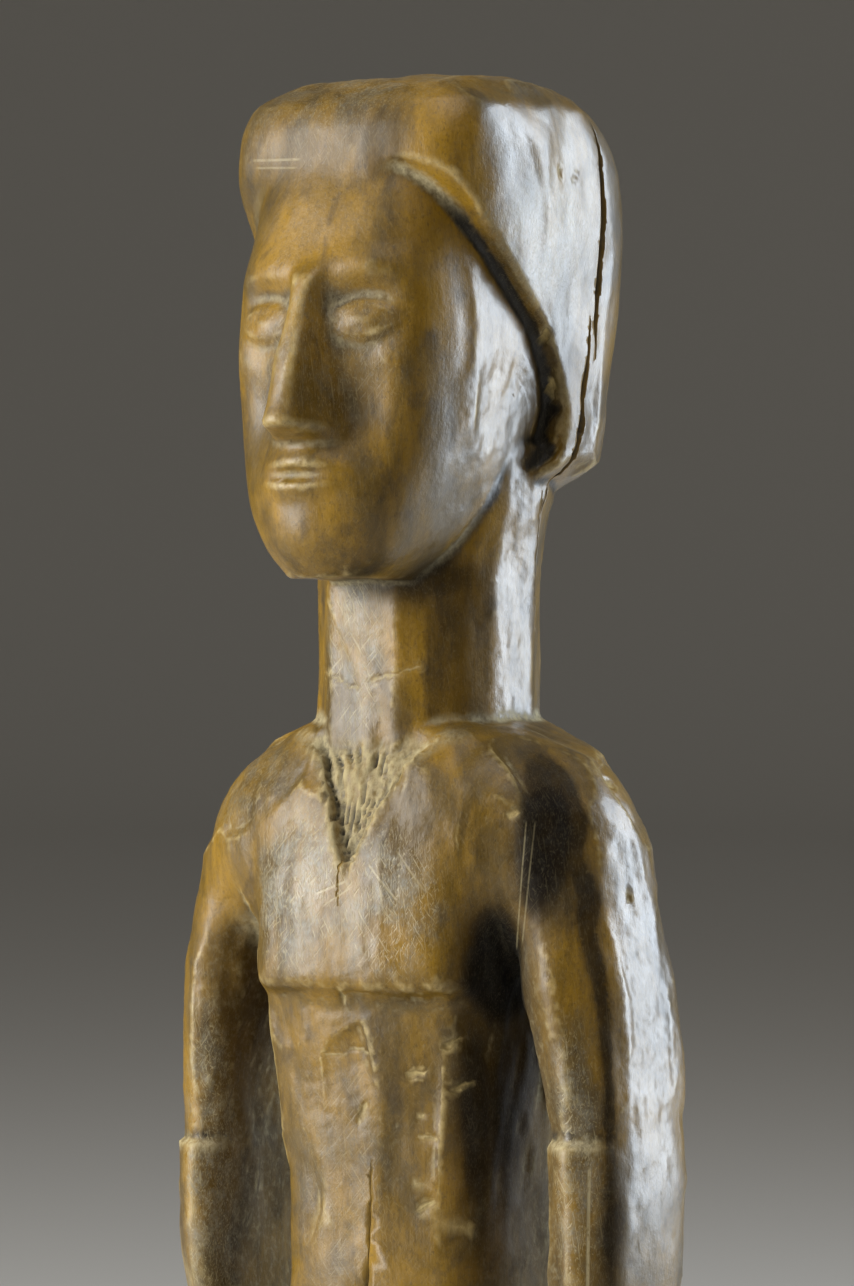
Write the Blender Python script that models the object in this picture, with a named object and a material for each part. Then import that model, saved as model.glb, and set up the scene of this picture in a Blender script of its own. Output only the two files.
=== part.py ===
"""A standing twin figure, carved with its low round base from one log of hard wood.

The figure faces -Y, its left side is +X, and the middle of the base's underside is the origin.
The body's proportions are in units of a 224th of the height above the base, which is 1 mm at the real size.
"""

import math

import bmesh
import bpy
from mathutils import Vector

# Driving sizes, in metres
FIGURE_HEIGHT = 0.235
BASE_HEIGHT = 0.011
BASE_RADIUS = 0.031
BASE_EDGE = 0.0012
CRACK_WIDTH = 0.0010
CRACK_DEPTH = 0.0045

BODY_UNITS = 224
UNIT = (FIGURE_HEIGHT - BASE_HEIGHT) / BODY_UNITS
LEG_SUNK = 2.2  # units that a leg reaches into the base, deeper than the foot so that their ends never meet
FOOT_SUNK = 1.4
BASE_SIDES = 40

# Heights of the landmarks above the top of the base, in units
CROWN = 224
CHIN = 169.5
HEAD_UNITS = CROWN - CHIN
FACE_FRONT = -24
FACE_BACK = 8
FACE_HALF_WIDTH = 14
NECK_FOOT = 154
THROAT_POINT = 140
CHEST_EDGE = 125.5
ELBOW = 109.5
WRIST = 80
RIGHT_ARM_SLIMNESS = 0.8

WOOD_COLOUR = (0.27, 0.13, 0.035, 1)
WOOD_ROUGHNESS = 0.38


def height(units):
    """Turns a height above the base in units into metres above the ground."""
    return BASE_HEIGHT + units * UNIT


def station(z, half_width, front, back, square=2.6, x=0.0, y=0.0, square_right=None):
    """One cross-section: its height, half-sizes, how square it is, and its middle, all in units.

    The carver left some corners on the figure's right side squarer than those on its left.
    """
    right = square if square_right is None else square_right
    return {"z": z, "w": half_width, "f": front, "b": back, "n": square, "r": right, "x": x, "y": y}


def eased(stations, steps):
    """Stations with extra ones between, on a Catmull-Rom curve through the given ones."""
    made = []
    last = len(stations) - 1
    for i in range(last):
        before, first = stations[max(i - 1, 0)], stations[i]
        second, after = stations[i + 1], stations[min(i + 2, last)]
        for step in range(steps):
            t = step / steps
            mixed = {}
            for key in first:
                p0, p1, p2, p3 = before[key], first[key], second[key], after[key]
                bend = (2 * p0 - 5 * p1 + 4 * p2 - p3) * t * t + (3 * p1 - p0 - 3 * p2 + p3) * t**3
                mixed[key] = 0.5 * (2 * p1 + (p2 - p0) * t + bend)
            mixed["z"] = first["z"] + (second["z"] - first["z"]) * t
            made.append(mixed)
    return made + [stations[last]]


def section_point(section, angle):
    """A point of a superellipse, whose half-depth differs front and back, in polar form."""
    c, s = math.cos(angle), math.sin(angle)
    depth = section["f"] if s < 0 else section["b"]
    power = section["n"] if c >= 0 else section["r"]
    reach = (abs(c / section["w"]) ** power + abs(s / depth) ** power) ** (-1 / power)
    return section["x"] + reach * c, section["y"] + reach * s


def new_object(name, mesh_data):
    mesh_data.normal_update()
    mesh = bpy.data.meshes.new(name)
    mesh_data.to_mesh(mesh)
    mesh_data.free()
    made = bpy.data.objects.new(name, mesh)
    bpy.context.scene.collection.objects.link(made)
    return made


def bridge(name, rings):
    """A closed form through rings of points in metres, with both ends closed by a fan."""
    mesh = bmesh.new()
    made = [[mesh.verts.new(place) for place in ring] for ring in rings]
    count = len(made[0])
    for low, high in zip(made, made[1:]):
        for i in range(count):
            j = (i + 1) % count
            mesh.faces.new((low[i], high[i], high[j], low[j]))
    for ring in (made[0], made[-1]):
        middle = mesh.verts.new(sum((v.co for v in ring), Vector()) / count)
        for i in range(count):
            mesh.faces.new((ring[i], ring[(i + 1) % count], middle))
    bmesh.ops.recalc_face_normals(mesh, faces=mesh.faces)
    return new_object(name, mesh)


def loft(name, stations, sides=16, steps=2, upright=True):
    """Bridges rings through the stations.

    An upright loft rises along Z. Otherwise it runs along -Y, and its z is the distance forwards.
    """
    rings = []
    for section in eased(stations, steps):
        ring = []
        for i in range(sides):
            x, y = section_point(section, -math.tau * i / sides)
            if upright:
                ring.append(Vector((x * UNIT, y * UNIT, height(section["z"]))))
            else:
                ring.append(Vector((x * UNIT, -section["z"] * UNIT, height(-y))))
        rings.append(ring)
    return bridge(name, rings)


def mirrored(stations):
    return [{**section, "x": -section["x"]} for section in stations]


def smooth(low, high, value):
    """0 below low and 1 above high, with an eased rise between."""
    t = min(1.0, max(0.0, (value - low) / (high - low)))
    return t * t * (3 - 2 * t)


def mound(x, h, middle_x, middle_h, half_width, half_height):
    """1 in the middle of an oval, eased to 0 at its rim."""
    away = math.hypot((x - middle_x) / half_width, (h - middle_h) / half_height)
    return 1 - smooth(0, 1, away)


def face_relief(x, h):
    """How far the face stands out of its plain front at x, h units above the chin.

    The proportions are the usual ones of a drawing book: the eyes at half the head's height, the
    nose's foot at three tenths of it and the mouth at a fifth.
    """
    eye_h = 0.5 * HEAD_UNITS
    brow_h = 0.6 * HEAD_UNITS
    nose_foot_h = 0.3 * HEAD_UNITS
    mouth_h = 0.2 * HEAD_UNITS
    side = abs(x)
    # Sockets and cheeks are cut back beside the nose
    out = 0.7 * mound(side, h, 5.5, brow_h, 7.5, 3.5)
    out -= 2.4 * mound(side, h, 6.2, eye_h + 0.6, 6.8, 6.0)
    out -= 2.2 * mound(side, h, 6.4, nose_foot_h + 2, 6.6, 10)
    # Each eye is an almond-shaped mound
    out += 1.9 * mound(side, h, 6.3, eye_h, 4.8, 3.0)
    # The nose is a wedge that widens and rises to its tip, with its foot cut back under it
    along = (brow_h - h) / (brow_h - nose_foot_h)
    if along > 0:
        nose_half_width = 1.9 + 2.3 * min(1, along) ** 1.5
        nose_height = (1.3 + 3.9 * min(1, along)) * (1 - smooth(1.0, 1.14, along))
        out += nose_height * (1 - smooth(0.3, 1.35, side / nose_half_width))
    # The muzzle carries two lips with the mouth's line between them, and the chin
    out += 1.4 * mound(x, h, 0, mouth_h, 9.5, 8.5)
    out += 0.9 * mound(x, h, 0, mouth_h, 7.0, 3.6)
    out -= 1.5 * mound(x, h, 0, mouth_h, 6.0, 1.3)
    out += 1.2 * mound(x, h, 0, 0.07 * HEAD_UNITS, 7.5, 5.5)
    return out


def oval(h, power=2.2):
    """The half width of the face's plain oval at a height above the chin, as a share of its widest."""
    away = abs(h / HEAD_UNITS - 0.5) / 0.53
    return (1 - away**power) ** (1 / power)


def profile(h):
    """How far forward the face's plain front is: upright, sloping back to the hair and to the chin."""
    forehead = max(0, h / HEAD_UNITS - 0.36) / 0.42
    chin = max(0, 0.2 - h / HEAD_UNITS) / 0.2
    return FACE_FRONT * (1 - 0.2 * forehead**2 - 0.1 * chin**3)


def face_rows():
    """Heights above the chin of the face's rings, close together across its features."""
    low, high = 0.14 * HEAD_UNITS, 0.64 * HEAD_UNITS
    rows = [0, 0.02 * HEAD_UNITS, 0.05 * HEAD_UNITS, 0.085 * HEAD_UNITS, 0.115 * HEAD_UNITS]
    rows += [low + (high - low) * i / 26 for i in range(27)]
    return rows + [share * HEAD_UNITS for share in (0.68, 0.73, 0.78, 0.83, 0.87)]


def make_head():
    """The face as an oval block, with the jaw rising back from the chin to the neck."""
    columns, back_sides, square = 26, 10, 3.2
    rings = []
    for h in face_rows():
        front = profile(h)
        back = FACE_BACK - 19 * (1 - smooth(-0.12, 0.36, h / HEAD_UNITS))
        middle = 0.45 * front + 0.55 * back
        half_width = FACE_HALF_WIDTH * oval(h)
        ring = []
        for i in range(columns + 1):
            even = 1 - 2 * i / columns
            across = 1.2 * even - 0.2 * even**3
            x = half_width * across
            y = middle - (middle - front) * max(0, 1 - abs(across) ** square) ** (1 / square)
            y -= face_relief(x, h) * (1 - smooth(0.8, 1.0, abs(across)))
            ring.append((x, y))
        section = station(0, half_width, middle - front, back - middle, square, y=middle)
        for i in range(1, back_sides):
            ring.append(section_point(section, math.pi - math.pi * i / back_sides))
        rings.append([Vector((x * UNIT, y * UNIT, height(CHIN + h))) for x, y in ring])
    return bridge("face", rings)


def make_hair():
    """The cap of hair: a squared block, flat on top, with a bevelled lower edge at the nape."""
    block = loft(
        "hair",
        [
            station(179.2, 11.0, 7.0, 13.6, 3.0),
            station(182.5, 15.4, 8.0, 16.6, 4.0),
            station(192, 16.0, 12.0, 16.8, 4.5),
            station(200, 16.6, 16.4, 17.8, 4.6),
            station(209, 17.2, 18.4, 18.0, 4.6),
            station(216, 17.0, 18.4, 15.8, 4.6),
            station(220.4, 15.8, 16.8, 12.4, 4.4),
            station(223, 13.0, 12.6, 8.6, 4.0),
            station(CROWN, 9.6, 6.0, 5.6, 3.6),
        ],
        sides=28,
        steps=2,
    )
    cut(block, make_face_opening())
    return block


def prism(name, outline, low, high, axis):
    """A cutter: an outline of two coordinates in units, drawn out along the third from low to high."""
    mesh = bmesh.new()
    faces = []
    for away in (low, high):
        points = [(away, a, b) if axis == "X" else (a, away, b) for a, b in outline]
        faces.append([mesh.verts.new(Vector((x * UNIT, y * UNIT, height(z)))) for x, y, z in points])
    count = len(outline)
    mesh.faces.new(faces[0])
    mesh.faces.new(faces[1])
    for i in range(count):
        j = (i + 1) % count
        mesh.faces.new((faces[0][i], faces[0][j], faces[1][j], faces[1][i]))
    bmesh.ops.recalc_face_normals(mesh, faces=mesh.faces)
    return new_object(name, mesh)


def make_face_opening():
    """The opening for the face, which leaves the hair standing proud along a line down each side."""
    hairline = [(-30, 213), (-16.8, 210), (-12.5, 206.4), (-6.5, 201), (-2, 197), (1.6, 192)]
    hairline += [(3.4, 188), (2.6, 183.5), (-1, 178), (-6, 172), (-30, 172)]
    return prism("face_opening", hairline, -24, 24, "X")


def combine(target, other, operation):
    modifier = target.modifiers.new(other.name, "BOOLEAN")
    modifier.operation = operation
    modifier.object = other
    modifier.solver = "EXACT"
    other.hide_render = True
    other.display_type = "WIRE"


def cut(target, cutter):
    combine(target, cutter, "DIFFERENCE")


def join(target, other):
    combine(target, other, "UNION")


def make_neck():
    """A round column, and the throat's wedge that runs down into the chest's notch."""
    column = loft(
        "neck",
        [
            station(138, 8.0, 12.0, 8.0, 2.2, -0.4),
            station(NECK_FOOT - 4, 11.4, 12.4, 11.0, 2.3, -0.3),
            station(NECK_FOOT + 6, 11.9, 12.2, 11.9, 2.3, -0.3),
            station(170, 12.0, 12.0, 12.0, 2.3, -0.4),
            station(177, 12.8, 10.0, 13.4, 2.3, -0.2),
            station(184, 13.2, 10.0, 14.4, 2.3),
        ],
        sides=16,
    )
    throat = loft(
        "throat",
        [
            station(THROAT_POINT - 1.7, 0.6, 3.8, 4.0, 2.0, y=-12.4),
            station(THROAT_POINT + 5, 2.0, 4.2, 4.0, 2.0, y=-11.2),
            station(THROAT_POINT + 11, 4.2, 4.0, 4.0, 2.2, y=-9.8),
            station(THROAT_POINT + 16, 6.4, 3.6, 4.0, 2.4, y=-8.8),
        ],
        sides=12,
        steps=1,
    )
    join(column, throat)
    return column


def make_neckline():
    """The pointed notch cut into the top of the chest round the foot of the neck."""
    half = [(0.4, THROAT_POINT - 1), (3.2, 145.4), (5.9, 150), (9.4, 152.6), (15, 154.6), (15, 160)]
    return prism("neckline", half + [(-x, z) for x, z in reversed(half)], -22, -11, "Y")


def make_torso():
    """The trunk from the crotch to the armpits, slim at the waist and full at the seat."""
    return loft(
        "torso",
        [
            station(51, 8.0, 5.0, 5.5, 2.4),
            station(53.5, 12.0, 8.0, 9.0, 2.4),
            station(59, 15.4, 10.2, 12.4, 2.5),
            station(67, 16.4, 11.4, 13.8, 2.6),
            station(75, 15.4, 12.6, 12.4, 2.8),
            station(84, 13.8, 13.2, 10.6, 3.0),
            station(94, 13.1, 13.4, 10.0, 3.2, square_right=4.4),
            station(104, 13.1, 13.6, 10.2, 3.2, square_right=4.4),
            station(115, 13.8, 14.2, 10.8, 3.2, square_right=4.4),
            station(123, 14.6, 15.2, 11.6, 3.2, square_right=4.4),
            station(132, 14.8, 14.4, 12.2, 3.0),
            station(142, 14.0, 12.6, 12.0, 2.8),
        ],
        sides=20,
    )


def make_chest():
    """The flat plate of the chest, whose lower edge is a crisp overhanging step."""
    return loft(
        "chest",
        [
            station(CHEST_EDGE - 2.0, 13.0, 14.0, 6.0, 3.4),
            station(CHEST_EDGE, 14.2, 17.2, 6.0, 3.6, square_right=4.6),
            station(CHEST_EDGE + 1.2, 14.4, 17.8, 6.0, 3.6, square_right=4.6),
            station(133, 14.8, 17.4, 8.0, 3.4, square_right=4.0),
            station(140, 14.8, 16.4, 8.0, 3.2),
            station(147, 13.0, 14.4, 8.0, 2.8),
            station(152.5, 10.0, 11.4, 6.0, 2.6),
        ],
        sides=22,
        steps=1,
    )


def make_shoulders():
    """The sloping yoke from which both arms hang."""
    return loft(
        "shoulders",
        [
            station(127, 22.6, 4.4, 5.0, 2.6, -0.3),
            station(131, 25.8, 8.6, 8.4, 2.8, -0.3),
            station(136, 26.8, 13.4, 11.6, 2.8, -0.3),
            station(141, 26.9, 15.2, 12.6, 2.6, -0.4),
            station(145.5, 25.4, 14.8, 12.4, 2.5, -0.4),
            station(149.5, 22.6, 13.4, 12.4, 2.5, -0.4),
            station(152.4, 17.2, 12.2, 12.2, 2.5, -0.4),
            station(154.2, 12.4, 11.2, 11.6, 2.4, -0.4),
            station(155, 9.6, 9.2, 9.6, 2.4, -0.4),
        ],
        sides=24,
    )


def arm_stations(slimness=1.0):
    """The upper arm and the forearm, each from below upwards. A slimmer arm keeps its outer face in place."""
    upper = [
        station(ELBOW - 1, 4.3, 10.4, 9.8, 3.0, 24.6),
        station(117, 4.8, 11.6, 10.2, 3.0, 24.0),
        station(125, 5.9, 12.0, 9.8, 2.9, 22.6),
        station(132, 6.1, 12.2, 9.4, 2.7, 21.8),
        station(139, 5.6, 11.4, 8.6, 2.5, 20.5),
        station(146, 4.2, 7.6, 6.2, 2.4, 18.6),
    ]
    forearm = [
        station(WRIST - 23.4, 2.0, 4.6, 4.0, 2.4, 17.2),
        station(WRIST - 18.6, 3.0, 7.0, 5.8, 2.6, 18.2),
        station(WRIST - 12, 3.4, 8.4, 7.0, 2.6, 19.4),
        station(WRIST - 5, 3.5, 8.0, 7.0, 2.4, 21.2),
        station(WRIST, 3.4, 7.4, 6.6, 2.4, 22.8),
        station(92, 4.1, 10.6, 8.6, 3.0, 24.5),
        station(ELBOW - 7, 4.4, 11.2, 9.8, 2.9, 24.7),
        station(ELBOW, 4.7, 11.4, 10.2, 2.9, 24.6),
    ]
    for section in upper + forearm:
        section["x"] += 1.35 * section["w"] * (1 - slimness)
        section["w"] *= slimness
    return upper, forearm


def leg_stations():
    return [
        station(-LEG_SUNK, 5.4, 7.4, 6.6, 2.6, x=10.6, y=1.5),
        station(3, 5.2, 7.0, 6.6, 2.6, x=10.6, y=1.5),
        station(9, 4.8, 5.0, 5.4, 2.4, x=10.4, y=2.0),
        station(18, 5.8, 5.6, 6.8, 2.4, x=10.3, y=1.5),
        station(28, 6.2, 6.4, 7.2, 2.5, x=10.1, y=0.5),
        station(37, 6.3, 8.0, 6.2, 2.6, x=9.9, y=-1.6),
        station(46, 7.0, 8.2, 7.6, 2.6, x=9.7, y=-1.2),
        station(55, 7.6, 8.8, 9.2, 2.5, x=9.1, y=-0.35),
        station(63.5, 6.9, 8.2, 9.4, 2.5, x=8.2, y=0.25),
    ]


def foot_stations():
    """Sections along the foot: z is the distance forwards, f the height and b the part sunk in the base."""
    return [
        station(-8.5, 3.6, 3.0, FOOT_SUNK, 2.4, x=10.4),
        station(-6.5, 5.2, 6.0, FOOT_SUNK, 2.4, x=10.4),
        station(0, 5.6, 8.6, FOOT_SUNK, 2.4, x=10.6),
        station(8, 6.0, 7.2, FOOT_SUNK, 2.4, x=11.0),
        station(15, 6.6, 5.2, FOOT_SUNK, 2.6, x=11.4),
        station(20, 6.4, 4.0, FOOT_SUNK, 2.8, x=11.6),
        station(22.5, 4.8, 2.6, FOOT_SUNK, 2.8, x=11.6),
    ]


def make_base():
    mesh = bmesh.new()
    bmesh.ops.create_cone(
        mesh,
        cap_ends=True,
        segments=BASE_SIDES,
        radius1=BASE_RADIUS,
        radius2=BASE_RADIUS,
        depth=BASE_HEIGHT,
    )
    for vert in mesh.verts:
        vert.co.z += BASE_HEIGHT / 2
    base = new_object("base", mesh)
    edge = base.modifiers.new("worn_edge", "BEVEL")
    edge.width = BASE_EDGE
    edge.segments = 2
    edge.limit_method = "ANGLE"
    return base


def crack(name, route, width, depth, outward):
    """A drying crack: a wedge along a route of points in units, open outwards and sharp within."""
    outward = Vector(outward).normalized()
    mesh = bmesh.new()
    rows = []
    last = len(route) - 1
    for i, point in enumerate(route):
        place = Vector((point[0] * UNIT, point[1] * UNIT, height(point[2])))
        openness = max(0.12, math.sin(math.pi * (i + 0.25) / (last + 0.5)))
        across = outward.cross(Vector((0, 0, 1))).normalized() * width * openness
        lip = place + outward * depth
        rows.append(
            [mesh.verts.new(v) for v in (lip - across, lip + across, place - outward * depth * openness)]
        )
    for low, high in zip(rows, rows[1:]):
        for i in range(3):
            j = (i + 1) % 3
            mesh.faces.new((low[i], low[j], high[j], high[i]))
    mesh.faces.new(rows[0])
    mesh.faces.new(rows[-1])
    bmesh.ops.recalc_face_normals(mesh, faces=mesh.faces)
    return new_object(name, mesh)


def make_cracks():
    side, back = 17.0, 6.5
    upper = [(side + 0.3, back + 1.2, z) for z in (221, 214, 206, 199, 193.5)]
    lower = [(side, back + 0.6 - 2.4 * (196 - z) / 18, z) for z in (198, 192, 186, 180, 176)]
    belly = [(-0.6, -12.0, z) for z in (107, 100, 92, 84, 77)]
    return [
        crack("head_crack_upper", upper, CRACK_WIDTH, CRACK_DEPTH, (1, 0.15, 0)),
        crack("head_crack_lower", lower, CRACK_WIDTH, CRACK_DEPTH, (1, 0.1, 0)),
        crack("belly_crack", belly, CRACK_WIDTH / 3, CRACK_DEPTH / 2, (0, -1, 0)),
    ]


def wood():
    material = bpy.data.materials.new("oiled_wood")
    material.use_nodes = True
    shader = material.node_tree.nodes["Principled BSDF"]
    shader.inputs["Base Color"].default_value = WOOD_COLOUR
    shader.inputs["Roughness"].default_value = WOOD_ROUGHNESS
    shader.inputs["Metallic"].default_value = 0
    return material


def main():
    for old in list(bpy.data.objects):
        bpy.data.objects.remove(old)
    figure = make_torso()
    figure.name = "twin_figure"
    body = [make_shoulders(), make_chest()]
    for side, flip, slimness in (("left", list, 1.0), ("right", mirrored, RIGHT_ARM_SLIMNESS)):
        upper, forearm = arm_stations(slimness)
        body.append(loft(f"upper_arm_{side}", flip(upper), sides=16))
        body.append(loft(f"forearm_{side}", flip(forearm), sides=16))
        body.append(loft(f"leg_{side}", flip(leg_stations()), sides=16))
        body.append(loft(f"foot_{side}", flip(foot_stations()), sides=14, steps=1, upright=False))
    body.append(make_base())
    for form in body:
        join(figure, form)
    cut(figure, make_neckline())
    for form in (make_neck(), make_head(), make_hair()):
        join(figure, form)
    for opening in make_cracks():
        cut(figure, opening)
    figure.data.materials.append(wood())


main()
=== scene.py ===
import math

import bpy
import numpy as np
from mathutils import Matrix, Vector


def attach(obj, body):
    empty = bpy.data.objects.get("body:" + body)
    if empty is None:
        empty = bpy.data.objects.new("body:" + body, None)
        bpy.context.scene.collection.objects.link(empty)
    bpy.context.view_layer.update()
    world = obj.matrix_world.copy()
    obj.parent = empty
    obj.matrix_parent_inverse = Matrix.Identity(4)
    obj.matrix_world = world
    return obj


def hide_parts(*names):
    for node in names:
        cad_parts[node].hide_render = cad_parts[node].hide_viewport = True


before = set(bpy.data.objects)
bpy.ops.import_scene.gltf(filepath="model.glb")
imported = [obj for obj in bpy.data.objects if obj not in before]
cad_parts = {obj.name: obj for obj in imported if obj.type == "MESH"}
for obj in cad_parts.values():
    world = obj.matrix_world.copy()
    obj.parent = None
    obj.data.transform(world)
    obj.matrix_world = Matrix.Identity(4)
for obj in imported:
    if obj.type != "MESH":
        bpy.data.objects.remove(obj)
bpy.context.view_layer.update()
print("frame loaded")

# every length is in millimetres of the real figure unless its line says otherwise
# a station is (height, half width, front, back, squareness, middle x, middle y, right side's squareness)


def easeStep(low, high, value):  # 0 below low, 1 above high, 3t^2 - 2t^3 between
    t = np.clip((value - low) / (high - low), 0, 1)
    return t * t * (3 - 2 * t)


def lump(u, v, u0, v0, halfU, halfV):  # 1 in the middle of an oval, eased to 0 at its rim
    return 1 - easeStep(0, 1, np.hypot((u - u0) / halfU, (v - v0) / halfV))


def curveThrough(table, count):  # Catmull-Rom in the row number, height straight between rows
    table = np.array(table, float)
    t = np.linspace(0, len(table) - 1, count)
    i = np.minimum(t.astype(int), len(table) - 2)
    f = (t - i)[:, None]
    p0, p1 = table[np.maximum(i - 1, 0)], table[i]
    p2, p3 = table[i + 1], table[np.minimum(i + 2, len(table) - 1)]
    bend = (2 * p0 - 5 * p1 + 4 * p2 - p3) * f**2 + (3 * p1 - p0 - 3 * p2 + p3) * f**3
    rows = 0.5 * (2 * p1 + (p2 - p0) * f + bend)
    rows[:, 0] = (p1 + (p2 - p1) * f)[:, 0]
    return rows


def fullRow(row):  # fills in the middle, and the right side's squareness, where a station leaves them out
    row = list(row) + [0] * (7 - len(row))
    return row + [row[4]] if len(row) < 8 else row


def outward(verts, tris):  # turns the faces round where the signed volume is negative
    p = verts[tris]
    inside = np.einsum("ij,ij->i", p[:, 0], np.cross(p[:, 1], p[:, 2])).sum() < 0
    return tris[:, ::-1] if inside else tris


def ringQuads(rows, cols):  # the faces between each ring of points and the next
    step = np.arange(rows - 1)[:, None] * cols
    a = (step + np.arange(cols)[None]).ravel()
    b = (step + (np.arange(cols)[None] + 1) % cols).ravel()
    return np.stack([a, b, b + cols, a + cols], 1)


def closedGrid(points):  # a grid of rings, closed round and capped at both ends with a fan
    rows, cols = points.shape[:2]
    verts = np.vstack([points.reshape(-1, 3), points[0].mean(0), points[-1].mean(0)])
    quads = ringQuads(rows, cols)
    ring = np.arange(cols)
    follow, last = (ring + 1) % cols, (rows - 1) * cols
    low = np.stack([follow, ring, np.full(cols, rows * cols)], 1)
    high = np.stack([last + ring, last + follow, np.full(cols, rows * cols + 1)], 1)
    return verts, outward(verts, np.vstack([quads[:, [0, 1, 2]], quads[:, [0, 2, 3]], low, high]))


def loft(table, along=120, around=96, lying=False, planes=()):
    # in polar form: reach = (|cos a / w|^n + |sin a / d|^n)^(-1/n), with d the front or the back half depth
    # each plane (turn, share) then shaves the ring to that share of how far it stands out in its direction
    rows = curveThrough([fullRow(r) for r in table], along)
    a = -np.linspace(0, 2 * np.pi, around, endpoint=False)[None]
    z, w, front, back, n, x0, y0, nRight = [rows[:, [k]] for k in range(8)]
    c, s = np.cos(a), np.sin(a)
    power = np.where(c >= 0, n, nRight)
    depth = np.where(s < 0, front, back)
    reach = (np.abs(c / w) ** power + np.abs(s / depth) ** power) ** (-1 / power)
    whole = reach.copy()
    edgeOn = 0.15  # a ray that runs flatter than this along a plane isn't cut by it
    for turn, share in planes:
        lean = np.cos(a - math.radians(turn - 90))
        stand = (whole * lean).max(1, keepdims=True)
        reach = np.minimum(reach, np.where(lean > edgeOn, share * stand / np.maximum(lean, edgeOn), 1e3))
    x, y = x0 + reach * c, y0 + reach * s
    if lying:
        return closedGrid(np.stack([x, -z + 0 * x, shape["baseHeight"] - y], 2))
    return closedGrid(np.stack([x, y, z + 0 * x], 2))


def onSide(surface, side):  # a form of the figure's left side, on its left at 1 and on its right at -1
    verts = surface[0] * [side, 1, 1]
    return verts, outward(verts, surface[1])


def together(surfaces):  # many surfaces as one list of points and faces
    counts = np.cumsum([0] + [len(v) for v, t in surfaces[:-1]])
    return np.vstack([v for v, t in surfaces]), np.vstack([t + c for (v, t), c in zip(surfaces, counts)])


def linked(name, data):  # a new object in the scene
    made = bpy.data.objects.new(name, data)
    bpy.context.scene.collection.objects.link(made)
    return made


def putMesh(name, verts, faces):
    mesh = bpy.data.meshes.new(name)
    faces = np.ascontiguousarray(faces, np.int32)
    mesh.vertices.add(len(verts))
    mesh.vertices.foreach_set("co", (verts / 1000).astype(np.float32).ravel())
    mesh.loops.add(faces.size)
    mesh.loops.foreach_set("vertex_index", faces.ravel())
    mesh.polygons.add(len(faces))
    mesh.polygons.foreach_set("loop_start", np.arange(0, faces.size, faces.shape[1], dtype=np.int32))
    mesh.update(calc_edges=True)
    mesh.validate()
    return linked(name, mesh)


def readMesh(mesh):  # vertices in millimetres, and triangles
    verts = np.empty(len(mesh.vertices) * 3, np.float32)
    mesh.vertices.foreach_get("co", verts)
    mesh.calc_loop_triangles()
    tris = np.empty(len(mesh.loop_triangles) * 3, np.int32)
    mesh.loop_triangles.foreach_get("vertices", tris)
    return verts.reshape(-1, 3).astype(float) * 1000, tris.reshape(-1, 3)


def applied(made):  # the object with its modifiers worked into its mesh
    graph = bpy.context.evaluated_depsgraph_get()
    mesh = bpy.data.meshes.new_from_object(made.evaluated_get(graph), depsgraph=graph)
    made.modifiers.clear()
    made.data = mesh
    return made


def takenOut(made):  # its mesh as arrays, and the object cleared away
    result = readMesh(applied(made).data)
    mesh = made.data
    bpy.data.objects.remove(made)
    bpy.data.meshes.remove(mesh)
    return result


def merged(surfaces, size):  # many closed forms as one skin, by a voxel remesh
    made = putMesh("merging", *together(surfaces))
    step = made.modifiers.new("merge", "REMESH")
    step.mode = "VOXEL"
    step.voxel_size = size / 1000
    return takenOut(made)


def cutAway(made, tool):  # the object less the tool, which is then cleared away
    step = made.modifiers.new("cut", "BOOLEAN")
    step.operation, step.solver, step.object = "DIFFERENCE", "MANIFOLD", tool
    applied(made)
    bpy.data.objects.remove(tool)


def carved(surface, cutter):  # the first closed form less the second
    made = putMesh("carving", *surface)
    cutAway(made, putMesh("tool", *cutter))
    return takenOut(made)


def addLayer(made, name, values):  # one number at each point, which the material reads by its name
    made.data.attributes.new(name, "FLOAT", "POINT").data.foreach_set("value", values.astype(np.float32))


def prism(outline, low, high, axis):  # an outline in two coordinates, drawn out along the third
    outline = np.array(outline, float)
    rings = []
    for away in (low, high):
        far = np.full(len(outline), float(away))
        parts = [far, outline[:, 0], outline[:, 1]] if axis == "X" else [outline[:, 0], far, outline[:, 1]]
        rings.append(np.stack(parts, 1))
    return closedGrid(np.array(rings))


def edgesOf(tris):  # every edge once, as pairs of points
    tris = tris.astype(np.int64)
    pairs = np.sort(np.vstack([tris[:, [0, 1]], tris[:, [1, 2]], tris[:, [2, 0]]]), 1)
    return pairs[np.unique(pairs[:, 0] * (tris.max() + 1) + pairs[:, 1], return_index=True)[1]]


def neighbourMean(edges, values):  # the mean of each point's neighbours, column by column
    values = values.reshape(len(values), -1)
    count = np.maximum(np.bincount(edges.ravel(), minlength=len(values)), 1)
    out = np.empty_like(values)
    for k in range(values.shape[1]):
        col = values[:, k]
        out[:, k] = np.bincount(edges[:, 0], col[edges[:, 1]], len(col))
        out[:, k] += np.bincount(edges[:, 1], col[edges[:, 0]], len(col))
    return out / count[:, None]


def smoothed(verts, edges, rounds, weight=1.0, pace=0.6):
    # each round moves the points a share of the way to their neighbours' mean
    weight = np.broadcast_to(weight, len(verts))[:, None]
    for _ in range(rounds):
        verts = verts + pace * weight * (neighbourMean(edges, verts) - verts)
    return verts


def normalsOf(verts, tris):  # the mean of the faces' normals at each point, by area
    p = verts[tris]
    n = np.cross(p[:, 1] - p[:, 0], p[:, 2] - p[:, 0])
    out = np.stack([np.bincount(tris.ravel(), np.repeat(n[:, k], 3), len(verts)) for k in range(3)], 1)
    return out / np.maximum(np.linalg.norm(out, axis=1), 1e-9)[:, None]


def unit(vector):  # at length one
    return np.array(vector) / np.linalg.norm(vector)


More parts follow.
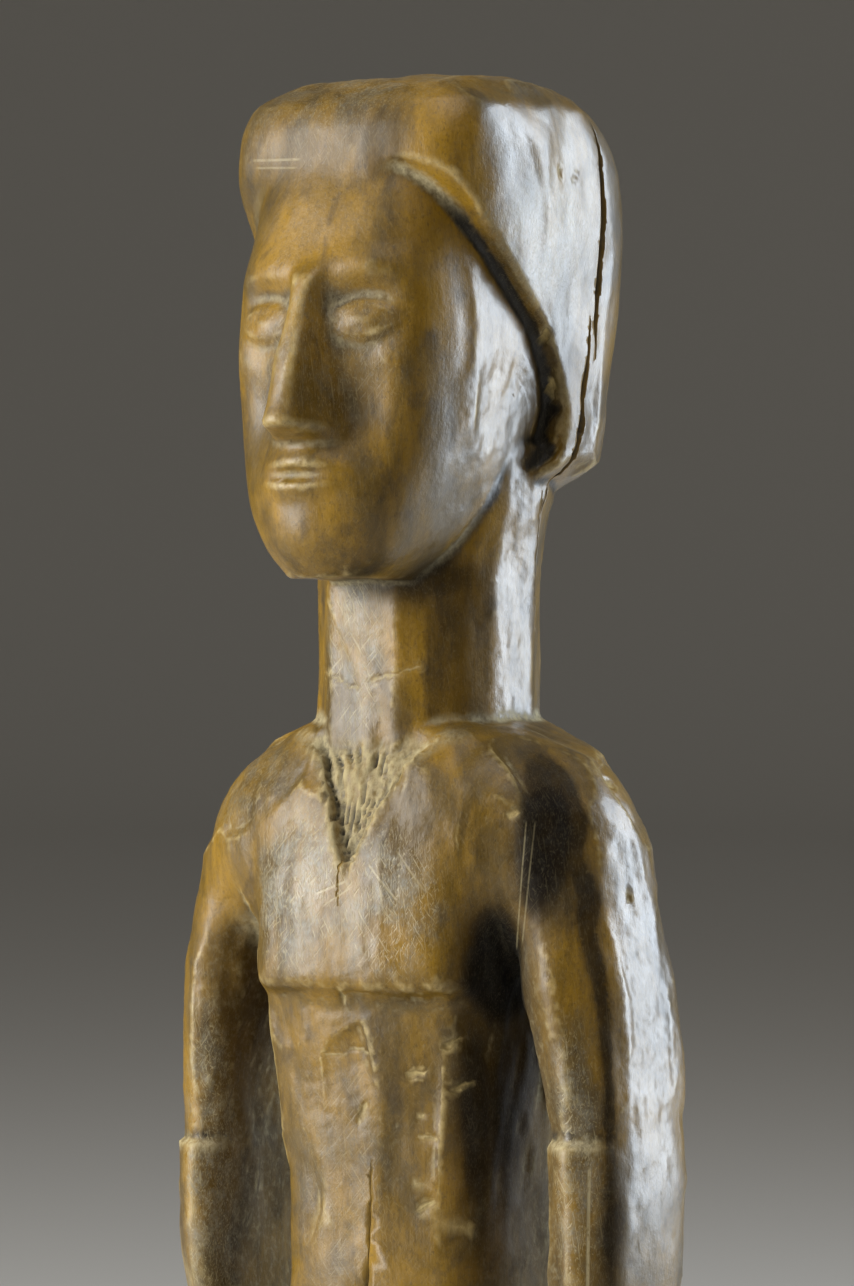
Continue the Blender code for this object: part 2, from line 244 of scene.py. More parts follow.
def waves(p, size, seed, count=12):  # a soft noise about -1..1: a sum of sines in random directions
    rng = np.random.default_rng(seed)
    way = rng.normal(size=(count, 3))
    way *= (2 * np.pi / size * rng.uniform(0.6, 1.5, count) / np.linalg.norm(way, axis=1))[:, None]
    phase = rng.uniform(0, 2 * np.pi, count)
    return np.sin(p @ way.T + phase).sum(1) / math.sqrt(count) / 1.2


shape = {
    "baseHeight": 11,
    "baseRadius": 31,
    "baseEdge": 1.2,
    "chin": 180.5,
    "headHeight": 54.5,
    "faceFront": -24,
    "faceBack": 8,
    "faceHalfWidth": 14,
    "rightArmSlimness": 0.8,
    "rightElbowDrop": 2.2,
    "bodyGrain": 0.8,  # voxel size for the soft forms, before they are eased into each other
    "bodyRounds": 40,  # rounds of easing at the shoulders
    "bodyEase": 0.06,  # how much of that the other soft forms get
    "skinGrain": 0.34,  # voxel size of the whole skin
    "skinRounds": 3,
    "skinEase": 0.8,
    "brimRounds": 90,  # rounds of easing where two forms run into each other without an edge
    "triangles": 190000,  # what the skin is thinned to
}

torsoRows = [
    (62, 8, 5, 5.5, 2.4), (64.5, 12, 8, 9, 2.4), (70, 15.4, 10.2, 12.4, 2.5),
    (78, 16.4, 11.4, 13.8, 2.6), (86, 15.4, 12.6, 12.4, 2.8), (95, 13.8, 13.2, 10.6, 3),
    (105, 13.1, 13.4, 10, 3.2, 0, 0, 4.4), (115, 13.1, 13.6, 10.2, 3.2, 0, 0, 4.4),
    (126, 13.8, 14.2, 10.8, 3.2, 0, 0, 4.4), (134, 14.6, 15.2, 11.6, 3.2, 0, 0, 4.4),
    (143, 14.8, 14.4, 12.2, 3), (153, 14, 12.6, 12, 2.8),
]
chestRows = [
    (135.2, 13.2, 14, 6, 4), (136.4, 14.3, 17.3, 6, 4.7, 0, 0, 4.8),
    (137.7, 14.4, 17.8, 6, 4.8, 0, 0, 4.8), (144, 14.8, 17.4, 8, 4.4, 0, 0, 4.4),
    (151, 14.8, 16.4, 8, 3.8), (158, 13, 14.4, 8, 2.8), (163.5, 10, 11.4, 6, 2.6),
]
shoulderRows = [
    (138, 22.6, 4.4, 5, 2.6, -0.3), (142, 25.8, 8.6, 8.4, 2.8, -0.3), (147, 26.8, 13.4, 11.6, 2.8, -0.3),
    (152, 26.9, 15.2, 12.6, 2.6, -0.4), (156.5, 25.4, 14.8, 12.4, 2.5, -0.4),
    (160.5, 22.6, 13.4, 12.4, 2.5, -0.4), (163.4, 17.2, 12.2, 12.2, 2.5, -0.4),
    (165.2, 12.4, 11.2, 11.6, 2.4, -0.4), (166, 9.6, 9.2, 9.6, 2.4, -0.4),
]
upperArmRows = [
    (119.5, 4.3, 10.4, 9.8, 3, 24.6), (128, 4.8, 11.6, 10.2, 3, 24), (136, 5.9, 12, 9.8, 2.9, 22.6),
    (143, 6.1, 12.2, 9.4, 2.7, 21.8), (150, 5.6, 11.4, 8.6, 2.5, 20.5), (157, 4.2, 7.6, 6.2, 2.4, 18.6),
]
forearmRows = [
    (67.6, 2, 4.6, 4, 2.4, 17.2), (72.4, 3, 7, 5.8, 2.6, 18.2), (79, 3.4, 8.4, 7, 2.6, 19.4),
    (86, 3.5, 8, 7, 2.4, 21.2), (91, 3.4, 7.4, 6.6, 2.4, 22.8), (103, 4.1, 10.6, 8.6, 3, 24.5),
    (113.5, 4.4, 11.2, 9.8, 2.9, 24.7), (120.5, 4.7, 11.4, 10.2, 2.9, 24.6),
]
legRows = [
    (8.8, 5.4, 7.4, 6.6, 2.6, 10.6, 1.5), (14, 5.2, 7, 6.6, 2.6, 10.6, 1.5),
    (20, 4.8, 5, 5.4, 2.4, 10.4, 2), (29, 5.8, 5.6, 6.8, 2.4, 10.3, 1.5),
    (39, 6.2, 6.4, 7.2, 2.5, 10.1, 0.5), (48, 6.3, 8, 6.2, 2.6, 9.9, -1.6),
    (57, 7, 8.2, 7.6, 2.6, 9.7, -1.2), (66, 7.6, 8.8, 9.2, 2.5, 9.1, -0.35),
    (74.5, 6.9, 8.2, 9.4, 2.5, 8.2, 0.25),
]
footRows = [  # lying: distance forwards, half width, height over the base, depth sunk in it
    (-8.5, 3.6, 3, 1.4, 2.4, 10.4), (-6.5, 5.2, 6, 1.4, 2.4, 10.4), (0, 5.6, 8.6, 1.4, 2.4, 10.6),
    (8, 6, 7.2, 1.4, 2.4, 11), (15, 6.6, 5.2, 1.4, 2.6, 11.4), (20, 6.4, 4, 1.4, 2.8, 11.6),
    (22.5, 4.8, 2.6, 1.4, 2.8, 11.6),
]
neckRows = [
    (149, 8, 12, 8, 2.2, -0.4), (161, 11.4, 12.4, 11, 2.3, -0.3),
    (171, 11.9, 12.2, 11.9, 2.3, -0.3), (181, 12, 12, 12, 2.3, -0.4),
    (188, 12.8, 10, 13.4, 2.3, -0.2), (195, 13.2, 10, 14.4, 2.3),
]
throatRows = [  # the torn wood that fills the notch
    (149, 1.2, 3.4, 3, 3, 0, -11.8), (153, 2.9, 3, 3, 3, 0, -11.6),
    (156.4, 4.4, 2.5, 3, 3, 0, -11.2), (160, 6.8, 2, 3, 3, 0, -10.7),
    (163, 7.4, 1.2, 3, 3, 0, -9.9), (165.4, 6, 0.5, 3, 3, 0, -8.6),
]
hairRows = [
    (190.2, 11, 7, 13.6, 3), (193.5, 15.4, 8, 16.6, 4), (203, 16, 12, 16.8, 4.5),
    (211, 16.6, 16.4, 17.8, 4.6), (220, 17.2, 18.4, 18, 4.6), (227, 17, 18.4, 15.8, 4.6),
    (231.4, 15.8, 16.8, 12.4, 4.4), (234, 13, 12.6, 8.6, 4), (235, 9.6, 6, 5.6, 3.6),
]
hairline = [  # y and height of the hair's edge down each side of the face
    (-30, 227), (-18.2, 225), (-14.6, 220.6), (-12.5, 217.8), (-6.5, 212), (-2, 208), (1.6, 203),
    (3.4, 199), (2.6, 194.5), (-1, 189), (-6, 183), (-30, 183),
]
notchHalf = [  # x and height of the throat's notch, from its tip up
    (0.4, 150), (3.2, 156.4), (5.9, 161), (9.4, 163.6), (15, 165.6), (15, 171),
]
# a plane is the way it faces, in degrees from the front towards the left, and the share of the reach left
torsoPlanes = [(-9, 0.985), (15, 0.96), (84, 0.97), (-82, 0.975), (160, 0.95), (205, 0.95)]
chestPlanes = [(-10, 0.985), (13, 0.97)]
legPlanes = [(20, 0.93), (-40, 0.93), (80, 0.95), (150, 0.93), (210, 0.94)]
neckPlanes = [
    (-68, 0.965), (-40, 0.955), (-3, 0.945), (27, 0.965), (45, 0.945), (63, 0.96), (88, 0.955),
    (115, 0.96), (142, 0.955), (178, 0.95), (214, 0.96), (245, 0.955), (268, 0.96),
]
armPlanes = [(38, 0.84), (62, 0.93), (-30, 0.9), (93, 0.985), (150, 0.9), (205, 0.92), (-90, 0.98)]


def slimmer(rows, slimness):  # a slimmer arm keeps its outer face about in place
    out = []
    for z, w, front, back, n, x in rows:
        out.append((z, w * slimness, front, back, n, x + 1.35 * w * (1 - slimness)))
    return out


def dropped(rows, drop):  # stations near the elbow go down by drop * exp(-(distance / 8)^2)
    return [(r[0] - drop * math.exp(-((r[0] - 119) / 8) ** 2), *r[1:]) for r in rows]


def faceRelief(x, h):  # how far the face stands out of its plain front, on drawing-book proportions
    size = shape["headHeight"]
    eye, brow, noseFoot, mouth = 0.5 * size, 0.6 * size, 0.3 * size, 0.2 * size
    side = np.abs(x)
    out = 0.7 * lump(side, h, 5.5, brow, 7.5, 3.5)
    out -= 2.4 * lump(side, h, 6.2, eye + 0.6, 6.8, 6.0)
    out -= 2.2 * lump(side, h, 6.4, noseFoot + 2, 6.6, 10)
    out += 1.9 * lump(side, h, 6.3, eye, 4.8, 3.0)
    lids = np.abs(h - eye) / (1.75 * np.maximum(0.02, 1 - ((side - 6.3) / 4.1) ** 2))
    out += 0.42 * np.exp(-(((lids - 1) / 0.34) ** 2)) * easeStep(4.3, 3.2, np.abs(side - 6.3))
    along = (brow - h) / (brow - noseFoot)
    inside = np.clip(along, 0, 1)
    noseHalf = 1.9 + 2.3 * inside**1.5
    nose = (1.3 + 3.9 * inside) * (1 - easeStep(1.0, 1.14, along)) * easeStep(-0.12, 0.05, along)
    out += nose * (1 - easeStep(0.3, 1.35, side / noseHalf))
    out += 1.4 * lump(x, h, 0, mouth, 9.5, 8.5) + 0.9 * lump(x, h, 0, mouth, 7.0, 3.6)
    out -= 1.5 * lump(x, h, 0, mouth, 6.0, 1.3)
    out += 1.2 * lump(x, h, 0, 0.07 * size, 7.5, 5.5)
    return out


def faceBlock(rows=150, cols=150):
    # half width is an oval in height, the front slopes back to hair and chin, and rings are superellipses
    size, square = shape["headHeight"], 3.2
    h = np.linspace(0, 0.87 * size, rows)[:, None]
    half = shape["faceHalfWidth"] * (1 - (np.abs(h / size - 0.5) / 0.53) ** 2.2) ** (1 / 2.2)
    forehead = np.maximum(0, h / size - 0.36) / 0.42
    chin = np.maximum(0, 0.2 - h / size) / 0.2
    front = shape["faceFront"] * (1 - 0.2 * forehead**2 - 0.1 * chin**3)
    back = shape["faceBack"] - 19 * (1 - easeStep(-0.12, 0.36, h / size))
    middle = 0.45 * front + 0.55 * back
    even = np.linspace(1, -1, cols)[None]
    across = 1.2 * even - 0.2 * even**3
    x = half * across
    y = middle - (middle - front) * np.maximum(0, 1 - np.abs(across) ** square) ** (1 / square)
    y = y - faceRelief(x, h + 0 * x) * (1 - easeStep(0.8, 1.0, np.abs(across)))
    a = np.linspace(np.pi, 0, 42)[None, 1:-1]
    behind = np.abs(np.sin(a) / (back - middle)) ** square
    reach = (np.abs(np.cos(a) / half) ** square + behind) ** (-1 / square)
    xs = np.hstack([x, reach * np.cos(a)])
    ys = np.hstack([y, middle + reach * np.sin(a)])
    return closedGrid(np.stack([xs, ys, shape["chin"] + h + 0 * xs], 2))


def baseBlock(cols=160):  # a turned disc: its profile is (radius, height), with a worn edge
    r, top, e = shape["baseRadius"], shape["baseHeight"], shape["baseEdge"]
    bend = np.linspace(0, np.pi / 2, 7)
    profile = [(0.4 * r, 0), (0.8 * r, 0)]
    profile += [(r - e * (1 - np.sin(b)), e * (1 - np.cos(b))) for b in bend]
    profile += [(r - e * (1 - np.cos(b)), top - e * (1 - np.sin(b))) for b in bend]
    profile += [(0.8 * r, top), (0.4 * r, top)]
    a = np.linspace(0, 2 * np.pi, cols, endpoint=False)[None]
    rr, zz = np.array(profile).T[:, :, None]
    return closedGrid(np.stack([rr * np.cos(a), rr * np.sin(a), zz + 0 * a], 2))


# the soft forms run into each other, so they are merged coarsely and eased before the crisp ones join them
softForms = [
    loft(torsoRows, planes=torsoPlanes),
    loft(chestRows, planes=chestPlanes),
    loft(shoulderRows, 140, 160),
]
crispForms = []
for side, slimness, drop in [(1, 1, 0), (-1, shape["rightArmSlimness"], shape["rightElbowDrop"])]:
    upperArm, forearm = [slimmer(dropped(rows, drop), slimness) for rows in (upperArmRows, forearmRows)]
    softForms.append(onSide(loft(upperArm, planes=armPlanes), side))
    crispForms.append(onSide(loft(forearm, planes=armPlanes), side))
    softForms.append(onSide(loft(legRows, planes=legPlanes), side))
    softForms.append(onSide(loft(footRows, lying=True), side))
verts, tris = merged(softForms, shape["bodyGrain"])
nearShoulder = easeStep(137, 142, verts[:, 2]) * easeStep(9, 16, np.abs(verts[:, 0]))
easing = np.maximum(nearShoulder, shape["bodyEase"])
body = (smoothed(verts, edgesOf(tris), shape["bodyRounds"], easing), tris)
print("soft forms merged:", len(verts), "points")

fullNotch = notchHalf + [(-x, z) for x, z in reversed(notchHalf)]
body = carved(body, prism(fullNotch, -22, -11, "Y"))
hair = carved(loft(hairRows, 160, 200), prism(hairline, -24, 24, "X"))
neck = loft(neckRows, 160, 160, planes=neckPlanes)
crispForms += [body, hair, faceBlock(), neck, loft(throatRows, 60, 60), baseBlock()]
verts, tris = merged(crispForms, shape["skinGrain"])
edges = edgesOf(tris)
verts = smoothed(verts, edges, shape["skinRounds"], shape["skinEase"])
print("skin merged:", len(verts), "points")


def cavities(verts, tris, edges, rounds):  # how far the mean of a patch stands above the surface
    return np.einsum("ij,ij->i", smoothed(verts, edges, rounds) - verts, normalsOf(verts, tris))


def frontBrim(verts):  # where the hair runs softly into the forehead, in front and on the figure's right
    x, y, z = verts.T
    return easeStep(8, 4, x) * easeStep(-8, -12, y) * easeStep(212, 216, z) * easeStep(229, 226, z)


def outerElbow(verts):  # the left arm's outer side runs on past the elbow's ledge
    x, y, z = verts.T
    return easeStep(26.5, 28.5, x) * easeStep(-9, -6, y) * easeStep(4.5, 2, np.abs(z - 120.2))


verts = smoothed(verts, edges, shape["brimRounds"], np.maximum(frontBrim(verts), outerElbow(verts)))
junctions = cavities(verts, tris, edges, 6)


knife = {
    "seed": 11,
    "width": 7.6,  # how wide a facet is
    "stretch": 2.8,  # how much longer a facet is along the grain, which runs up the log
    "tilt": 0.06,  # how far, in radians, a facet leans off the form under it
    "crisp": 1.7,  # per millimetre, how fast one facet gives way to the next
    "most": 0.45,  # the deepest that a facet cuts
    "fill": 0.3,  # the most that it stands out
    "bite": 0.04,  # what every facet cuts besides
    "reach": 1.5,  # how far a facet goes, in its own widths
    "turning": 8,  # how much a facet avoids a surface that is turned off its own facing
    "spacing": 0.8,  # the least gap between facets, in facet widths
    "tries": 7000,  # how many places are tried
    "fewest": 20,  # a facet with fewer points than this is dropped
    "placedTilt": 0.3,  # the share of the tilt that the placed facets get
    "flowRounds": 14,  # how much the facings are evened out first
}
placedFacets = [  # middle, facing and width of the facets that stand out
    ((19.5, -6, 158.5), (0.60, -0.50, 0.62), 11), ((23, -7.6, 148), (0.72, -0.66, 0.20), 9),
    ((10, -12, 159), (0.22, -0.76, 0.60), 9), ((-12.5, -12.4, 158), (-0.42, -0.70, 0.58), 9),
    ((-21.5, -6, 156), (-0.70, -0.45, 0.55), 9), ((22.6, 4.6, 157), (0.78, 0.28, 0.56), 9),
    ((16.9, -9, 219), (0.99, -0.12, 0.04), 12), ((17, 2, 222), (0.99, 0.06, 0.14), 10),
    ((16.4, 4, 208), (0.99, 0.04, -0.08), 10), ((-9, -17.9, 227), (-0.14, -0.97, 0.18), 9),
    ((5, -18.2, 223), (0.06, -0.99, 0.10), 11),
]


def facetReach(verts, flow, order, heights, middle, facing, width):
    # how far points are from a facet's middle, as if it had the usual width, and more if turned off it
    span = knife["stretch"] * width * knife["reach"]
    low, high = np.searchsorted(heights, (middle[2] - span, middle[2] + span))
    near = order[low:high]
    gap = verts[near] - middle
    flat = (gap * [1, 1, 1 / knife["stretch"]]) ** 2
    far = np.sqrt(flat.sum(1)) * (knife["width"] / width) + knife["turning"] * (1 - flow[near] @ facing)
    kept = far < knife["reach"] * knife["width"]
    return near[kept], far[kept]


def knifeShare(verts):
    # how much of the facets is kept: in this order, less on the face, the hair's side, the head's sides, the
    # neck, the chest, the arms, the elbows and the base
    x, y, z = verts.T
    side = np.abs(x)
    share = 0.75 - 0.68 * easeStep(180, 184, z) * easeStep(-12, -15, y)
    share *= 1 - 0.7 * easeStep(198, 206, z) * easeStep(13, 15, side)
    share *= 1 - 0.45 * easeStep(178, 184, z) * easeStep(-15, -12, y) * easeStep(14, 12, side)
    share *= 1 - 0.75 * easeStep(161, 165, z) * easeStep(190, 184, z) * easeStep(16, 14, side)
    chest = 0.7 * easeStep(133, 137, z) * easeStep(160, 156, z) * easeStep(16.5, 14, side)
    share *= 1 - chest * easeStep(-9, -12, y)
    share *= 1 - 0.6 * easeStep(152, 146, z) * easeStep(60, 66, z) * easeStep(16, 18, side)
    share *= 1 - 0.85 * easeStep(6, 3, np.abs(z - 120)) * easeStep(16, 18, side)
    share *= 1 - 0.5 * easeStep(13, 11.5, z)
    return share


def knifeFacets(verts, tris, edges):
    # each point goes to the plane of the nearest facet, weighed by exp(-crisp * distance), and planes meet in
    # ridges; the facets are strewn at random, no two too near each other
    rng = np.random.default_rng(knife["seed"])
    flow = normalsOf(verts, tris)
    for _ in range(knife["flowRounds"]):
        flow = neighbourMean(edges, flow)
    flow /= np.linalg.norm(flow, axis=1)[:, None]
    facets = [(np.array(p), unit(n), w) for p, n, w in placedFacets]
    placed = len(facets)
    squash = np.array([1, 1, 1 / knife["stretch"]])
    taken = [p * squash for p, n, w in facets]
    for i in rng.choice(len(verts), knife["tries"], replace=False):
        spot = verts[i] * squash
        if np.min(np.sum((np.array(taken) - spot) ** 2, 1)) > (knife["spacing"] * knife["width"]) ** 2:
            taken.append(spot)
            facets.append((verts[i], flow[i], knife["width"] * rng.uniform(0.85, 1.15)))
    order = np.argsort(verts[:, 2])
    heights = verts[order, 2]
    reaches = [facetReach(verts, flow, order, heights, *facet) for facet in facets]
    nearest, owner = np.full(len(verts), 1e9), np.full(len(verts), -1)
    for k, (near, far) in enumerate(reaches):
        closer = far < nearest[near]
        owner[near[closer]] = k
        nearest[near[closer]] = far[closer]
    above, weight = np.zeros(len(verts)), np.full(len(verts), 1e-12)
    for k, (near, far) in enumerate(reaches):
        own = owner == k
        if own.sum() < knife["fewest"]:
            continue
        centre = verts[own].mean(0)
        plane = facets[k][1] if k < placed else flow[own].mean(0)
        plane = plane + rng.normal(size=3) * knife["tilt"] * (knife["placedTilt"] if k < placed else 1)
        plane = unit(plane)
        share = np.exp(-knife["crisp"] * (far - nearest[near]))
        above[near] += share * ((verts[near] - centre) @ plane + knife["bite"])
        weight[near] += share
    away = np.clip(above / weight, -knife["fill"], knife["most"]) * knifeShare(verts)
    return verts - flow * away[:, None], flow, len(facets)


verts, flow, facetCount = knifeFacets(verts, tris, edges)
print("knife facets cut:", facetCount)


nicks = [  # place, how it runs (degrees from level), length, width, depth
    ((11.1, -12, 131.2), 18, 2.8, 0.9, 0.5), ((7.4, -13.3, 127.7), 8, 2.4, 1.1, 0.5),
    ((11.4, -10.7, 126.5), 20, 3.4, 0.9, 0.55), ((7.4, -13, 123.1), 0, 1.1, 0.9, 0.45),
    ((8.3, -12.2, 120.8), -6, 3.2, 0.7, 0.35), ((7.5, -12.3, 113.5), 24, 3.2, 1.2, 0.6),
    ((11, -9.8, 111.2), 4, 3.4, 1.2, 0.6), ((6.7, -12.6, 115.8), 0, 1.8, 0.7, 0.3),
    ((9.4, -11.3, 111.5), -30, 2.4, 0.9, 0.45), ((-2.8, -14.3, 129.5), 4, 3.6, 0.5, 0.2),
    ((0.9, -14.4, 130), -8, 2.6, 0.5, 0.2), ((-0.6, -16.1, 136.1), 90, 2.6, 0.7, 0.4),
    ((0.5, -13.5, 123), 60, 3, 1, 0.3), ((26.7, -1.9, 146.5), 80, 2, 0.9, 0.5),
    ((18.2, -11.1, 155.5), 20, 1.6, 1.1, 0.5), ((22.5, 0.7, 158.8), -20, 2.6, 1.5, 0.5),
    ((14.9, -0.4, 206.8), 60, 3, 1.2, 0.9), ((13.8, 2.7, 201.6), 75, 3.4, 1.3, 1),
    ((16.7, -0.4, 224.3), 80, 1.5, 0.7, 0.6), ((16.7, 2.5, 223.9), 60, 2.2, 0.4, 0.3),
    ((-5.6, -10.8, 170), -14, 4.6, 0.8, 0.2), ((-2.6, -11.6, 168.9), -12, 3, 0.7, 0.16),
    ((1.8, -12, 170), 10, 5.6, 0.9, 0.22), ((5, -10.9, 170.9), 14, 4, 0.8, 0.18),
]
cracks = [  # points down the line, facing, opening, depth
    ([(17.4, 7.6, 232), (17.5, 7.8, 224), (17.6, 8, 216), (17.4, 7.9, 209), (17.2, 8.1, 204.5)],
     (1, 0.1, 0), 1.2, 4.5),
    ([(17, 6.7, 209), (17, 6.5, 202), (16.6, 5.9, 196), (15.4, 4.6, 191.5), (13.4, 3.6, 187)],
     (1, 0.1, 0), 1.3, 4.8),
    ([(12.8, 3.2, 190), (12, 3.6, 184), (11.8, 4.4, 177), (11.8, 5, 170)], (1, 0.1, 0), 0.28, 1.6),
    ([(1.6, -13.6, 118), (1.4, -13.6, 112), (1.1, -13.4, 105), (0.8, -13.6, 96), (1, -13.2, 88)],
     (0, -1, 0), 0.16, 1.4),
    ([(-0.4, -16.6, 152), (-0.6, -17.2, 148.4), (-0.3, -17.8, 144.5)], (0, -1, 0), 0.12, 0.8),
]


def markNicks(verts, flow):
    # each nick is a dent of depth (1 - u^2)(1 - |v|) along and across it, steep on its upper side
    down, bare = np.zeros(len(verts)), np.zeros(len(verts))
    for place, tilt, length, width, depth in nicks:
        gap = verts - place
        near = np.flatnonzero(np.abs(gap).max(1) < length)
        facing = flow[near[np.argmin(np.linalg.norm(gap[near], axis=1))]]
        level = unit(np.cross((0, 0, 1), facing))
        up = np.cross(facing, level)
        c, s = math.cos(math.radians(tilt)), math.sin(math.radians(tilt))
        u = gap[near] @ (c * level + s * up) / (length / 2)
        v = gap[near] @ (c * up - s * level) / (width / 2)
        v = np.where(v > 0, v * 1.5, v * 0.8)
        u = u + 0.35 * waves(verts[near], 1.7, 31)
        v = v + 0.3 * waves(verts[near], 1.2, 32)
        outer = flow[near] @ facing > 0.3
        hollow = np.maximum(0, 1 - u * u) * np.maximum(0, 1 - np.abs(v))
        down[near] = np.maximum(down[near], depth * hollow * outer)
        bare[near] = np.maximum(bare[near], easeStep(0.1, 0.6, hollow) * outer * min(1, depth / 0.5) ** 1.5)
    return down, bare


def pathDistance(points, path):  # how far each point in a plane is from a path of straight pieces
    path = np.array(path, float)
    best = np.full(len(points), 1e9)
    for p, q in zip(path, path[1:]):
        way = q - p
        t = np.clip((points - p) @ way / (way @ way), 0, 1)
        best = np.minimum(best, np.linalg.norm(points - p - t[:, None] * way, axis=1))
    return best


tear = {
    "strands": 4.6,  # how many strands fan out from the notch's tip on either side of the middle
    "gap": 0.38,  # how wide the gap between two strands is
    "depth": 0.7,
    "rough": 0.12,
    "rim": 0.6,  # how torn the notch's rim is, beside its floor
}


def tornFibres(verts):
    # strands of torn wood in the throat's notch, with a gap of exp(-(sin(pi * strand) / gap)^2) between them,
    # where black shade is painted
    x, y, z = verts.T
    fromNotch = pathDistance(np.stack([np.abs(x), z], 1), notchHalf[:5])
    rim = tear["rim"] * (1 - easeStep(0.2, 1.4, fromNotch)) * easeStep(-8.5, -10.5, y)
    half = np.interp(z, [150, 156.4, 161, 163.6], [0.6, 3.3, 6.0, 9.4])
    floor = easeStep(0.9, -0.3, np.abs(x) - half) * easeStep(-9, -11, y) * easeStep(164, 161, z)
    mask = np.maximum(rim, floor) * easeStep(147.5, 150.5, z)
    strand = tear["strands"] * x / (half + 0.7) + 0.6 * waves(verts * [0.5, 0.4, 0.3], 5, 5)
    strand = strand + 0.25 * waves(verts * [1, 1, 0.3], 1.8, 6)
    split = np.exp(-(np.abs(np.sin(np.pi * strand)) / tear["gap"]) ** 2)
    split *= easeStep(-0.8, 0.3, waves(verts * [1, 1, 0.3], 3, 7)) * (0.2 + 0.8 * floor)
    rough = tear["rough"] * waves(verts * [1, 1, 0.4], 1.4, 22)
    return mask * (tear["depth"] * split + rough), mask, mask * split


def unevenness(verts):  # broad and fine waves: the hair's side has broad scoops, and the face is smoother
    x, y, z = verts.T
    hairSide = easeStep(196, 204, z) * easeStep(13, 15, x)
    calm = 1 - 0.65 * hairSide - 0.7 * easeStep(180, 184, z) * easeStep(-12, -15, y)
    out = 0.06 * waves(verts * [1, 1, 0.5], 7, 3) + 0.045 * calm * waves(verts * [1, 1, 0.6], 2.8, 4, 20)
    out += 0.025 * calm * waves(verts, 1.4, 6, 24)
    return out + 0.09 * hairSide * waves(verts * [1, 1, 0.8], 6.0, 8, 20)


down, bare = markNicks(verts, flow)
torn, notchMask, gaps = tornFibres(verts)
verts = verts - flow * (down + torn + unevenness(verts))[:, None]
print("nicks and torn fibres done")


def innerShadeFaces(verts, flow):  # the arms' inner sides and the body's sides next to them: painted shade darkens them, and as no hand rubs them they are dustier and duller
    x, y, z = verts.T
    outerTurn = np.sign(x) * flow[:, 0]
    below = easeStep(150, 142, z)
    arms = easeStep(0.1, -0.5, outerTurn) * easeStep(10, 15, np.abs(x)) * below
    trunk = easeStep(0.3, 0.8, outerTurn) * easeStep(17, 14, np.abs(x)) * below * easeStep(-11, -7, y)
    return np.maximum(arms, trunk) * easeStep(60, 70, z)


def elbowMarks(verts):  # dust on the ledges at the elbows, and a dark broken line of painted shade on top of them
    x, y, z = verts.T
    onElbow = easeStep(18, 20, np.abs(x)) * easeStep(-6.5, -8.5, y)
    ledge = z + 0.2 * waves(verts, 2.4, 52) + shape["rightElbowDrop"] * (x < 0)
    patchy = np.clip(0.9 + 0.35 * waves(verts, 1.5, 54), 0, 1)
    broken = easeStep(-0.4, 0.4, waves(verts, 4, 53) + 0.3)
    dust = onElbow * easeStep(119.0, 120.6, ledge) * easeStep(121.3, 121.0, ledge) * patchy
    line = onElbow * easeStep(120.9, 121.2, ledge) * easeStep(122.2, 121.7, ledge) * broken
    return dust, line


def paintedShadeSides(verts, turned):  # painted shade on the left arm's narrow side, and on the neck's plane that faces the same way, between the two lamps' light
    x, y, z = verts.T
    arm = easeStep(40, 48, turned) * easeStep(72, 62, turned) * easeStep(15, 18, x) * easeStep(166, 160, z)
    neck = 0.5 * easeStep(36, 40, turned) * easeStep(76, 68, turned)
    neck = neck * easeStep(163, 166, z) * easeStep(184, 181, z)
    return np.maximum(0.8 * arm, neck)


innerShadeSide = innerShadeFaces(verts, flow)
turned = np.degrees(np.arctan2(flow[:, 0], -flow[:, 1]))  # where a point faces, from the front to the left
turned = turned + 6 * waves(verts, 9, 51)
elbowDust, elbowShadeLine = elbowMarks(verts)
paintedShadeSide = paintedShadeSides(verts, turned)
verts = verts - flow * (innerShadeSide * 0.12 * waves(verts * [1, 1, 0.35], 2.4, 41, 24))[:, None]
print("inner sides done")


def zones(verts, table):  # the strongest of some soft ovals, each a place, half sizes and a strength
    out = np.zeros(len(verts))
    for place, half, strength in table:
        far = np.linalg.norm((verts - place) / half, axis=1)
        out = np.maximum(out, strength * (1 - easeStep(0.45, 1.15, far)))
    return out


def dustPlaces(verts):  # the neck's foot, right armpit, hairline and elbows hold more dust than the rest
    x, y, z = verts.T
    neckFoot = easeStep(155, 160, z) * easeStep(171, 168, z)
    rightPit = easeStep(-11, -14, x) * easeStep(126, 132, z) * easeStep(147, 142, z) * easeStep(2, -4, y)
    hairEdge = 0.9 * easeStep(214, 219, z)
    elbows = 0.9 * easeStep(4, 2, np.abs(z - 120.5))
    return np.maximum.reduce([neckFoot, rightPit, hairEdge, elbows, np.full(len(z), 0.3)])


def paintedGrooveShadow(verts, junction):  # painted shadow, in black, in the cut under the hair's edge, beside the face
    x, y, z = verts.T
    along = easeStep(0.15, 0.5, junction) * easeStep(185, 189, z) * easeStep(222, 218, z)
    return along * easeStep(-16.5, -14, y)


